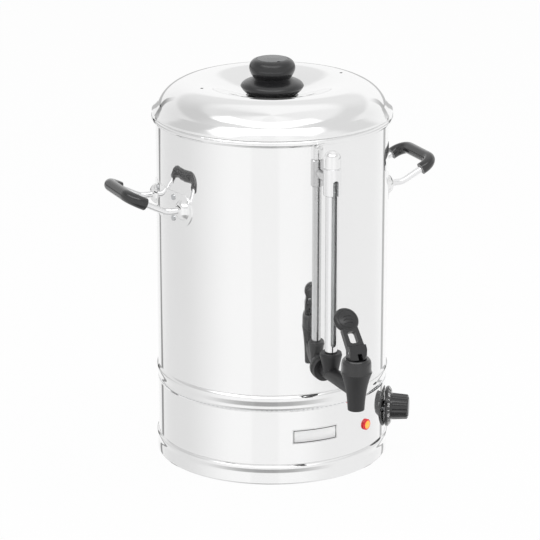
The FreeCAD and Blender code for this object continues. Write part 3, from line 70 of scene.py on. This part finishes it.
# The tap's paddle leans back from upright: the way it runs, and the way its face looks
LEVER_LEAN = math.radians(43.0)
LEVER_ALONG = np.array([0.0, math.sin(LEVER_LEAN), math.cos(LEVER_LEAN)])
LEVER_FACE = np.array([0.0, -math.cos(LEVER_LEAN), math.sin(LEVER_LEAN)])

# Camera: metres and degrees, for a square frame
CAMERA_AZIMUTH = -25.0
CAMERA_PITCH = 17.7
CAMERA_DISTANCE = 3.2
CAMERA_AIM_Z = 0.2107
CAMERA_SIDE = -0.0025
CAMERA_LENS = 186.5

# Area lamps: name, place in metres, side in metres, watts
LAMPS = (("key", (-1.6, -2.2, 2.2), 1.4, 26.0),
         ("fill", (2.0, -1.4, 1.3), 1.2, 12.0),
         ("top", (0.2, 0.3, 2.6), 1.8, 16.0))
LAMP_AIM = Vector((0, 0, 0.2))

WHITE = (1.0, 1.0, 1.0, 1.0)
FLOOR_SHADE = (0.9, 0.9, 0.9, 1.0)


class Wire:
    """A shader socket on which arithmetic adds Math nodes."""

    def __init__(self, tree, socket):
        self.tree, self.socket = tree, socket

    def math(self, operation, *values):
        return self.tree.node("ShaderNodeMath", {"operation": operation}, dict(enumerate((self,) + values)))

    def __add__(self, other):
        return self.math("ADD", other)

    def __sub__(self, other):
        return self.math("SUBTRACT", other)

    def __mul__(self, other):
        return self.math("MULTIPLY", other)

    def __rsub__(self, other):
        return self.tree.number(other).math("SUBTRACT", self)

    __radd__, __rmul__ = __add__, __mul__

    def change(self, low, high, at_low, at_high):
        """Smooth change from at_low to at_high while this goes from low to high."""
        return self.tree.node("ShaderNodeMapRange", {"interpolation_type": "SMOOTHSTEP"},
                              {0: self, 1: low, 2: high, 3: at_low, 4: at_high})

    def band(self, low, high, soft):
        """1 between low and high, falling to 0 over soft on each side."""
        return self.change(low - soft, low, 0.0, 1.0) * self.change(high, high + soft, 1.0, 0.0)


class Tree:
    """Adds nodes to a material's or a world's node tree."""

    def __init__(self, owner):
        owner.use_nodes = True
        self.nodes, self.links = owner.node_tree.nodes, owner.node_tree.links
        self.nodes.clear()

    def node(self, kind, settings=None, inputs=None, output=0):
        """Add a node: its settings first, then values or links of its sockets. Gives one of its outputs."""
        made = self.nodes.new(kind)
        for key, value in (settings or {}).items():
            setattr(made, key, value)
        for key, value in (inputs or {}).items():
            if isinstance(value, Wire):
                self.links.new(value.socket, made.inputs[key])
            else:
                made.inputs[key].default_value = value
        return Wire(self, made.outputs[output])

    def number(self, value):
        return self.node("ShaderNodeMath", {"operation": "ADD"}, {0: value, 1: 0.0})

    def axis(self, vector, letter):
        """One of a vector's numbers: X, Y or Z."""
        return self.node("ShaderNodeSeparateXYZ", None, {0: vector}, output=letter)

    def position(self, scale=(1.0, 1.0, 1.0)):
        where = self.node("ShaderNodeTexCoord", output="Object")
        return self.node("ShaderNodeMapping", None, {0: where, 3: scale})

    def noise(self, scale, stretch=(1.0, 1.0, 1.0), detail=3.0):
        return self.node("ShaderNodeTexNoise", None,
                         {"Vector": self.position(stretch), "Scale": scale, "Detail": detail})

    def mix(self, factor, low, high):
        return self.node("ShaderNodeMix", {"data_type": "RGBA"}, {0: factor, 6: low, 7: high}, output=2)

    def bump(self, height, strength, distance):
        return self.node("ShaderNodeBump", None,
                         {"Height": height, "Strength": strength, "Distance": distance})

    def light_path(self, kind):
        return self.node("ShaderNodeLightPath", output=kind)

    def finish(self, shader, kind="ShaderNodeOutputMaterial"):
        made = self.nodes.new(kind)
        self.links.new(shader.socket, made.inputs["Surface"])

    def surface(self, inputs):
        self.finish(self.node("ShaderNodeBsdfPrincipled", None, inputs))


def opaque(colour, share=1.0):
    """A colour, or a share of it, with its alpha."""
    return (*[share * level for level in colour], 1.0)


def metal(name, tint, rough, grain, stretch, grain_depth, shine=1.0, bore=None, back=None):
    """Metal with a faint directional grain and slow changes of polish.

    It is duller within the radius bore of the tank's axis. Behind the plane y = back, the side that faces the
    tank,
    it is rougher and carries painted shade: a darker grey, with a painted dark line down its middle.
    """
    material = bpy.data.materials.new(name)
    tree = Tree(material)
    lines = tree.noise(grain, stretch)
    clouds = tree.noise(9.0)
    rough = rough + 0.015 * clouds + 0.01 * lines
    colour = tree.mix(clouds, opaque(tint, 0.97), opaque(tint))
    if bore is not None:
        x, y = (tree.axis(tree.position(), letter) for letter in "XY")
        inside = (x * x + y * y).math("SQRT").band(0.0, bore, 0.2 * MM)
        rough = rough + 0.3 * inside
        shine = shine - 0.5 * inside
    if back is not None:
        # Painted shade: the side that faces the tank is darker grey, with a painted dark line down its middle
        x, y = (tree.axis(tree.position(), letter) for letter in "XY")
        painted_shade_behind = y.band(back, 1.0, 1.0 * MM)
        painted_dark_line = x.band(-0.5 * MM, 0.5 * MM, 0.7 * MM) * y.band(back + 2.0 * MM, 1.0, 1.0 * MM)
        rough = rough + 0.12 * painted_shade_behind
        colour = tree.mix(painted_shade_behind, colour, opaque(tint, 0.74))
        colour = tree.mix(painted_dark_line, colour, opaque(tint, 0.10))
    tree.surface({"Base Color": colour, "Metallic": shine, "Roughness": rough,
                  "Normal": tree.bump(lines, 0.05, grain_depth)})
    return material


def plastic(name, dark, light, rough, pores, depth, coat=0.0):
    """Moulded plastic: slight mottling and a fine leathery or smooth skin."""
    material = bpy.data.materials.new(name)
    tree = Tree(material)
    skin = tree.noise(pores, detail=4.0)
    patches = tree.noise(30.0)
    tree.surface({"Base Color": tree.mix(patches, opaque(dark), opaque(light)),
                  "Roughness": rough + 0.08 * skin, "Coat Weight": coat, "Coat Roughness": 0.06,
                  "Normal": tree.bump(skin, 0.25, depth)})
    return material


def glass(name):
    """Clear tube with faint smears along its length."""
    material = bpy.data.materials.new(name)
    tree = Tree(material)
    smear = tree.noise(40.0, (1.0, 1.0, 0.2))
    tree.surface({"Base Color": (0.93, 0.95, 0.95, 1.0), "Roughness": 0.01 + 0.03 * smear, "IOR": 1.47,
                  "Transmission Weight": 0.6})
    return material


def lamp_window(name):
    """Amber moulding, lit unevenly from behind."""
    material = bpy.data.materials.new(name)
    tree = Tree(material)
    glow = tree.noise(220.0)
    tree.surface({"Base Color": (0.90, 0.36, 0.06, 1.0), "Roughness": 0.25 + 0.1 * glow,
                  "Emission Color": tree.mix(glow, (1.0, 0.30, 0.03, 1.0), (1.0, 0.42, 0.07, 1.0)),
                  "Emission Strength": 0.75})
    return material


EVEN = (1.0, 1.0, 1.0)
POLISHED = {"tint": (0.945, 0.945, 0.945), "rough": 0.025, "grain": 240.0, "stretch": (1.0, 1.0, 0.04),
            "grain_depth": 0.004 * MM, "shine": 0.94}
CHROMED = {"tint": (0.92, 0.92, 0.925), "rough": 0.06, "grain": 300.0, "stretch": EVEN,
           "grain_depth": 0.01 * MM, "shine": 0.92}

FINISHES = {
    "polished_steel": metal("polished_steel", **POLISHED),
    "tank_steel": metal("tank_steel", **POLISHED, bore=TANK_BORE),
    "chrome": metal("chrome", **CHROMED),
    # Guard and collar steel, with painted shade on the side that faces the tank
    "guard_steel": metal("guard_steel", **CHROMED, back=GAUGE_Y),
    "inner_steel": metal("inner_steel", (0.62, 0.63, 0.64), 0.28, 400.0, (1.0, 1.0, 0.1), 0.05 * MM),
    "brass": metal("turned_brass", (0.72, 0.56, 0.28), 0.25, 300.0, EVEN, 0.04 * MM),
    "copper": metal("drawn_copper", (0.72, 0.42, 0.26), 0.25, 300.0, EVEN, 0.04 * MM),
    "matt_black": plastic("matt_black", (0.016, 0.016, 0.017), (0.023, 0.023, 0.024), 0.40, 1500.0,
                          0.06 * MM),
    "gloss_black": plastic("gloss_black", (0.009, 0.009, 0.010), (0.013, 0.013, 0.014), 0.16, 300.0,
                           0.01 * MM, coat=0.6),
    "satin_black": plastic("satin_black", (0.012, 0.012, 0.013), (0.017, 0.017, 0.018), 0.27, 900.0,
                           0.02 * MM, coat=0.25),
    "cap_grey": plastic("cap_grey", (0.075, 0.078, 0.08), (0.09, 0.094, 0.098), 0.22, 600.0, 0.02 * MM),
    "rubber": plastic("black_rubber", (0.025, 0.025, 0.025), (0.035, 0.035, 0.035), 0.7, 900.0, 0.06 * MM),
    "silicone": plastic("clear_silicone", (0.68, 0.67, 0.64), (0.75, 0.74, 0.71), 0.45, 500.0, 0.03 * MM),
    "glass": glass("gauge_glass_clear"),
    "lamp_red": plastic("lamp_red", (0.90, 0.012, 0.020), (0.98, 0.020, 0.030), 0.20, 400.0, 0.01 * MM,
                        coat=0.4),
    "lamp_amber": lamp_window("lamp_amber"),
    "moulded_insulator": plastic("moulded_insulator", (0.66, 0.62, 0.52), (0.72, 0.69, 0.58), 0.5, 700.0,
                                 0.04 * MM),
    "paper": plastic("sticker_paper", (0.94, 0.94, 0.94), (0.97, 0.97, 0.97), 0.45, 400.0, 0.01 * MM),
    "print_black": plastic("print_black", (0.006, 0.006, 0.006), (0.010, 0.010, 0.010), 0.6, 400.0,
                           0.01 * MM),
    "print_white": plastic("print_white", (0.93, 0.93, 0.92), (0.97, 0.97, 0.96), 0.45, 400.0, 0.01 * MM),
}

# Nodes with a closer finish than their slot's
CLOSER_FINISHES = {
    "tank_steel": ("tank_shell", "tank_floor"),
    "guard_steel": ("gauge_guard", "gauge_collar"),
    "satin_black": ("lid_knob", "tap_lever"),
    "gloss_black": ("dial_skirt", "dial_grip", "tap_bonnet"),
}


def finish_nodes():
    """Give every node the finish of its slot, or a closer one."""
    for row in frame["record"]["subparts"]:
        mesh = frame["nodes"][row["node"]].data
        mesh.materials.clear()
        mesh.materials.append(FINISHES[row["material_slot"]])
    for finish, nodes in CLOSER_FINISHES.items():
        for node in nodes:
            frame["nodes"][node].data.materials[0] = FINISHES[finish]


def new_piece(name, points, faces, body, slot, finish, smooth=True):
    """Mesh object at the origin that rides on a body."""
    mesh = bpy.data.meshes.new(name)
    mesh.from_pydata([tuple(p) for p in points], [], [tuple(int(i) for i in f) for f in faces])
    mesh.materials.append(FINISHES[finish])
    mesh.polygons.foreach_set("use_smooth", [smooth] * len(mesh.polygons))
    mesh.update()
    piece = bpy.data.objects.new(name, mesh)
    bpy.context.scene.collection.objects.link(piece)
    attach(piece, body)
    return piece


def joined(parts):
    """Points and faces of several meshes as one."""
    points, faces, base = [], [], 0
    for some_points, some_faces in parts:
        points.append(some_points)
        faces += [tuple(np.array(f) + base) for f in some_faces]
        base += len(some_points)
    return np.concatenate(points), faces


def slab_faces(columns, rows):
    """Faces of a closed thin slab: front grid, back grid and the rim between them."""
    index = np.arange(columns * rows).reshape(rows, columns)
    a, b, c, d = index[:-1, :-1], index[:-1, 1:], index[1:, 1:], index[1:, :-1]
    front = np.stack([a, b, c, d], -1).reshape(-1, 4)
    back = front[:, ::-1] + columns * rows
    loop = np.concatenate([index[0, :-1], index[:-1, -1], index[-1, :0:-1], index[:0:-1, 0]])
    after = np.roll(loop, -1)
    rim = np.stack([loop, loop + columns * rows, after + columns * rows, after], -1)
    return np.concatenate([front, back, rim])


def wall_patch(angles, heights, inner, outer):
    """Slab wrapped on the tank: point = (r sin a, -r cos a, z) over a grid of angle and height."""
    a, z = np.meshgrid(angles, heights)
    skins = [np.stack([r * np.sin(a), -r * np.cos(a), z], -1).reshape(-1, 3) for r in (outer, inner)]
    return np.concatenate(skins), slab_faces(len(angles), len(heights))


def blank_sticker():
    """White sticker with a thin black border and no words, on the base housing below the tap."""
    middle, half = math.radians(-3.3), 27.0 * MM / TANK_R
    low, high = 47.5 * MM, 64.5 * MM
    columns = np.linspace(middle - half, middle + half, 25)
    sheet = wall_patch(columns, np.linspace(low, high, 3), TANK_R + 0.02 * MM, TANK_R + 0.16 * MM)
    new_piece("blank_sticker", *sheet, "urn", "cap_grey", "paper")
    inset, line = 1.1 * MM, 0.8 * MM
    turn_in, turn_line = inset / TANK_R, line / TANK_R
    left, right = columns[0] + turn_in, columns[-1] - turn_in
    bottom, top = low + inset, high - inset
    along, upright = np.linspace(left, right, 25), np.array([bottom + line, top - line])
    strips = [(along, np.array([bottom, bottom + line])),
              (along, np.array([top - line, top])),
              (np.array([left, left + turn_line]), upright),
              (np.array([right - turn_line, right]), upright)]
    parts = [wall_patch(a, z, TANK_R + 0.15 * MM, TANK_R + 0.22 * MM) for a, z in strips]
    new_piece("sticker_border", *joined(parts), "urn", "matt_black", "print_black", smooth=False)


def turned_faces(columns, rows):
    """Faces of a closed profile of so many rows, carried once round through so many columns."""
    index = np.arange(columns * rows).reshape(columns, rows)
    beside, above = np.roll(index, -1, axis=0), np.roll(index, -1, axis=1)
    return np.stack([index, above, np.roll(beside, -1, axis=1), beside], -1).reshape(-1, 4)


def turned_ring(name, outline, node):
    """Closed ring about the tank's axis: point = (r sin a, -r cos a, z) for each (r, z) of the outline."""
    columns = 240
    a = np.linspace(0.0, 2 * np.pi, columns, endpoint=False)[:, None]
    radius, height = np.array(outline).T
    points = np.stack([radius * np.sin(a), -radius * np.cos(a), height + 0 * a], -1).reshape(-1, 3)
    ring = new_piece(name, points, turned_faces(columns, len(outline)), "urn", "polished_steel",
                     "polished_steel")
    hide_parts(node)


def rolled(high, low, groove, crest, foot):
    """Outline of a rolled bead, top first: a quarter sine from groove to crest, half a cosine to its foot."""
    turn = high - 0.3 * (high - low)
    t = np.linspace(0.0, 1.0, 15)
    up = zip(groove + (crest - groove) * np.sin(0.5 * np.pi * t), high + (turn - high) * t)
    down = zip(foot + (crest - foot) * 0.5 * (1 + np.cos(np.pi * t[1:])), turn + (low - turn) * t[1:])
    return [*up, *down]


def mid_band_roll():
    """Pressed roll between tank and base: a fat bead over a crimped lip that lies flush with the housing."""
    low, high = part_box("mid_band")[0][2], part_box("mid_band")[1][2]
    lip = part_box("base_housing")[1][2]
    inner, groove, seat = TANK_R - 3.1 * MM, TANK_R - 1.3 * MM, TANK_R - 1.2 * MM
    bead = rolled(high - 0.3 * MM, 91.0 * MM, groove, TANK_R + 1.7 * MM, TANK_R + 0.1 * MM)
    outline = [(inner, high), (groove, high), *bead, (TANK_R, lip), (seat, lip), (seat, low), (inner, low)]
    turned_ring("mid_band_roll", outline, "mid_band")


def plinth_roll():
    """Foot of the urn: a fat bead under the housing and a skirt that swells a little over the table."""
    high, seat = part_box("plinth_ring")[1][2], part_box("base_housing")[0][2]
    inner, groove, waist = TANK_R - 4.2 * MM, TANK_R - 1.3 * MM, TANK_R + 0.9 * MM
    waist_z, edge_z = 12.6 * MM, 0.4 * MM
    bead = rolled(seat - 0.3 * MM, waist_z, groove, TANK_R + 2.1 * MM, waist)
    t = np.linspace(0.0, 1.0, 9)[1:]
    skirt = zip(waist + 0.7 * MM * np.sin(0.6 * np.pi * t), waist_z + (edge_z - waist_z) * t)
    outline = [(inner, high), (inner + 0.8 * MM, high), (groove, seat), *bead, *skirt,
               (TANK_R - 2.0 * MM, edge_z), (inner, 1.6 * MM)]
    turned_ring("plinth_roll", outline, "plinth_ring")


def crimp_marks():
    """Ring of short pressed dashes round the top of the base housing, drawn as flat strips of darker, duller steel
    that paint the shade of the dents.
    """
    count, middle, half_height = 150, 88.0 * MM, 0.35 * MM
    pitch = 2 * math.pi / count
    half = 0.3 * pitch
    heights = np.array([middle - half_height, middle + half_height])
    parts = [wall_patch(np.linspace(pitch * k - half, pitch * k + half, 3), heights, TANK_R - 0.5 * MM,
                        TANK_R + 0.1 * MM) for k in range(count)]
    new_piece("crimp_marks", *joined(parts), "urn", "inner_steel", "inner_steel", smooth=False)


def letters(text, size):
    """Flat mesh of a short plain text, centred on the origin, as points and faces."""
    curve = bpy.data.curves.new("digits", "FONT")
    curve.body, curve.size, curve.align_x, curve.align_y = text, size, "CENTER", "CENTER"
    curve.extrude = 0.06 * MM
    holder = bpy.data.objects.new("digits", curve)
    bpy.context.scene.collection.objects.link(holder)
    mesh = bpy.data.meshes.new_from_object(holder.evaluated_get(bpy.context.evaluated_depsgraph_get()))
    points = np.array([v.co[:] for v in mesh.vertices])
    faces = [tuple(p.vertices) for p in mesh.polygons]
    bpy.data.objects.remove(holder)
    bpy.data.meshes.remove(mesh)
    return points, faces


def on_skirt(points, clock):
    """Flat points laid on the dial skirt's bevel at a clock angle, with their tops outwards."""
    radial, axial = 21.25 * MM, 3.45 * MM
    lean_out, lean_front = 0.58, 0.815
    out = math.sin(clock) * DIAL_RIGHT + math.cos(clock) * UP
    right = math.cos(clock) * DIAL_RIGHT - math.sin(clock) * UP
    rise = lean_front * out - lean_out * DIAL_AXIS
    face = lean_out * out + lean_front * DIAL_AXIS
    centre = DIAL_CENTRE + radial * out + axial * DIAL_AXIS
    return centre + points[:, :1] * right + points[:, 1:2] * rise + points[:, 2:3] * face


def dial_scale():
    """Plain numbers from 30 to 110 round the skirt with a tick between each two."""
    values = list(range(30, 120, 10))
    sweep = math.radians(270.0)
    step = sweep / (len(values) - 1)
    tick = np.array([[x, y, z] for z in (0.06, -0.06) for x, y in
                     ((-0.25, -1.2), (0.25, -1.2), (0.25, 1.2), (-0.25, 1.2))]) * MM
    tick_faces = [(0, 1, 2, 3), (7, 6, 5, 4), (0, 4, 5, 1), (1, 5, 6, 2), (2, 6, 7, 3), (3, 7, 4, 0)]
    parts = []
    for k, value in enumerate(values):
        clock = step * k - sweep / 2
        points, faces = letters(str(value), 4.9 * MM)
        parts.append((on_skirt(points, clock), faces))
        if k:
            parts.append((on_skirt(tick, clock - step / 2), tick_faces))
    new_piece("dial_scale", *joined(parts), "dial", "cap_grey", "print_white", smooth=False)


def dial_rim():
    """Black ring in the gap behind the dial's skirt: a painted shadow that darkens the gap to the wall.

    Point = centre + r (cos a right + sin a up) + s axis for each (r, s) of a closed profile.
    """
    columns = 96
    profile = np.array([(22.9, 0.05), (23.2, -0.6), (22.4, -1.4), (20.8, -1.4), (20.8, 0.05)]) * MM
    a = np.linspace(0.0, 2 * np.pi, columns, endpoint=False)[:, None, None]
    radius, axial = profile[None, :, :1], profile[None, :, 1:]
    points = DIAL_CENTRE + radius * (np.cos(a) * DIAL_RIGHT + np.sin(a) * UP) + axial * DIAL_AXIS
    new_piece("dial_rim", points.reshape(-1, 3), turned_faces(columns, len(profile)), "dial", "matt_black",
              "gloss_black")


def tube(path, radius, sides=8):
    """Closed tube about a path: point = path + radius (cos t n + sin t b), with a small ring at each end."""
    along = np.gradient(path, axis=0)
    along /= np.linalg.norm(along, axis=1, keepdims=True)
    side = np.cross(along, LEVER_FACE)
    side /= np.linalg.norm(side, axis=1, keepdims=True)
    other = np.cross(side, along)
    t = np.linspace(0, 2 * np.pi, sides, endpoint=False)[None, :, None]
    size = np.full(len(path), radius)
    size[[0, -1]] = radius * 0.2
    rings = path[:, None] + size[:, None, None] * (np.cos(t) * side[:, None] + np.sin(t) * other[:, None])
    index = np.arange(len(path) * sides).reshape(-1, sides)
    after = np.roll(index, -1, axis=1)
    walls = np.stack([index[:-1], index[1:], after[1:], after[:-1]], -1).reshape(-1, 4)
    ends = [tuple(index[0]), tuple(index[-1][::-1])]
    return rings.reshape(-1, 3), [tuple(w) for w in walls] + ends


def paddle_ridges():
    """Raised arcs and a fine ring for the thumb, laid on the paddle's dish."""
    mesh = frame["nodes"]["tap_lever"].data
    corners, sides = [v.co[:] for v in mesh.vertices], [tuple(p.vertices) for p in mesh.polygons]
    paddle = BVHTree.FromPolygons(corners, sides)
    middle = LEVER_PIN + 38.5 * MM * LEVER_ALONG
    arc_r, ring_r, drop = 14.0 * MM, 10.6 * MM, 30.0 * MM

    def laid(x, s):
        """Places x to the side and s along from the paddle's middle, dropped onto its face."""
        places = middle + np.outer(x, (1.0, 0.0, 0.0)) + np.outer(s, LEVER_ALONG)
        hits = [paddle.ray_cast(Vector(p + drop * LEVER_FACE), Vector(-LEVER_FACE))[0] for p in places]
        return np.array([h[:] for h in hits])

    t = np.linspace(-0.42, 0.42, 13)
    parts = [tube(laid(arc_r * np.sin(t), rise * MM + arc_r * (np.cos(t) - 1)), 0.55 * MM)
             for rise in (-5.0, -1.0, 3.0)]
    t = np.linspace(0.0, 2 * np.pi, 49)
    parts.append(tube(laid(ring_r * np.sin(t), ring_r * np.cos(t)), 0.4 * MM))
    new_piece("paddle_ridges", *joined(parts), "lever", "matt_black", "matt_black")


def studio_floor():
    """Wide pale floor that the camera sees as nearly white, with the urn's shadow."""
    material = bpy.data.materials.new("studio_floor")
    tree = Tree(material)
    whiteness = 0.955 * tree.light_path("Is Camera Ray")
    shade = tree.node("ShaderNodeBsdfDiffuse", None, {"Color": FLOOR_SHADE})
    white = tree.node("ShaderNodeEmission", None, {"Color": WHITE, "Strength": 1.0})
    tree.finish(tree.node("ShaderNodeMixShader", None, {0: whiteness, 1: shade, 2: white}))
    bpy.ops.mesh.primitive_plane_add(size=30.0)
    floor = bpy.context.object
    floor.name = "studio_floor"
    floor.data.materials.append(material)
    floor.visible_glossy = False


def studio_surround():
    """World that is white for the camera and through glass, and banded for the metal to reflect.

    Its bands run by height, from -1 straight down to 1 straight up, and by the angle in degrees round the urn
    from the camera's side.
    """
    world = bpy.data.worlds.new("studio_surround")
    bpy.context.scene.world = world
    tree = Tree(world)
    direction = tree.node("ShaderNodeTexCoord", output="Generated")
    x, y, height = (tree.axis(direction, letter) for letter in "XYZ")
    turn = math.radians(CAMERA_AZIMUTH)
    front = x * math.sin(turn) + y * -math.cos(turn)
    across = x * math.cos(turn) + y * math.sin(turn)
    angle = across.math("ARCTAN2", front) * (180.0 / math.pi)

    softbox = 2.0 * height.band(0.78, 0.84, 0.08) * angle.band(-60.0, 40.0, 35.0)
    sides = 0.22 * angle.band(-115.0, -100.0, 64.0) + 0.11 * angle.band(62.0, 115.0, 38.0) \
        + 0.05 * angle.band(-18.0, 4.0, 5.0)
    limbs = 0.60 * angle.band(-150.0, -145.0, 2.0) + 0.50 * angle.band(143.0, 148.0, 2.0)
    low_part = 1 - height.band(0.45, 2.0, 0.35)
    horizon = 0.45 * height.band(-0.10, 0.0, 0.05) * (1 - 0.95 * angle.band(-80.0, 70.0, 50.0))
    ceiling = 0.16 * height.band(0.52, 0.70, 0.12)
    table = 0.58 * height.band(-0.95, -0.68, 0.13) * angle.band(-25.0, 15.0, 65.0)
    reflected = 1.0 + softbox - sides - limbs * low_part - horizon - ceiling - table

    ambient = 0.55
    plain = tree.light_path("Is Camera Ray").math("MAXIMUM", tree.light_path("Is Transmission Ray"))
    glossy = tree.light_path("Is Glossy Ray")
    strength = plain + (1 - plain) * (glossy * reflected + (1 - glossy) * ambient)
    background = tree.node("ShaderNodeBackground", None, {"Color": WHITE, "Strength": strength})
    tree.finish(background, "ShaderNodeOutputWorld")


def studio_lamps():
    """Soft lamps that shade the black parts. The metal doesn't reflect them."""
    for name, place, side, power in LAMPS:
        data = bpy.data.lights.new(name, "AREA")
        data.shape, data.size, data.energy = "SQUARE", side, power
        lamp = bpy.data.objects.new(name, data)
        lamp.location = place
        lamp.visible_glossy = False
        lamp.rotation_euler = (LAMP_AIM - Vector(place)).to_track_quat("-Z", "Y").to_euler()
        bpy.context.scene.collection.objects.link(lamp)


def camera():
    """Long lens from the front left and a little above."""
    turn, pitch = math.radians(CAMERA_AZIMUTH), math.radians(CAMERA_PITCH)
    side = CAMERA_SIDE * Vector((math.cos(turn), math.sin(turn), 0))
    aim = Vector((0, 0, CAMERA_AIM_Z)) + side
    away = Vector((math.sin(turn) * math.cos(pitch), -math.cos(turn) * math.cos(pitch), math.sin(pitch)))
    data = bpy.data.cameras.new("studio_camera")
    data.lens, data.sensor_width, data.clip_end = CAMERA_LENS, 36.0, 50.0
    eye = bpy.data.objects.new("studio_camera", data)
    eye.location = aim + CAMERA_DISTANCE * away
    eye.rotation_euler = (-away).to_track_quat("-Z", "Y").to_euler()
    bpy.context.scene.collection.objects.link(eye)
    bpy.context.scene.camera = eye


finish_nodes()
mid_band_roll()
plinth_roll()
blank_sticker()
crimp_marks()
dial_rim()
dial_scale()
paddle_ridges()
studio_floor()
studio_surround()
studio_lamps()
camera()
bpy.context.scene.view_settings.view_transform = "Standard"
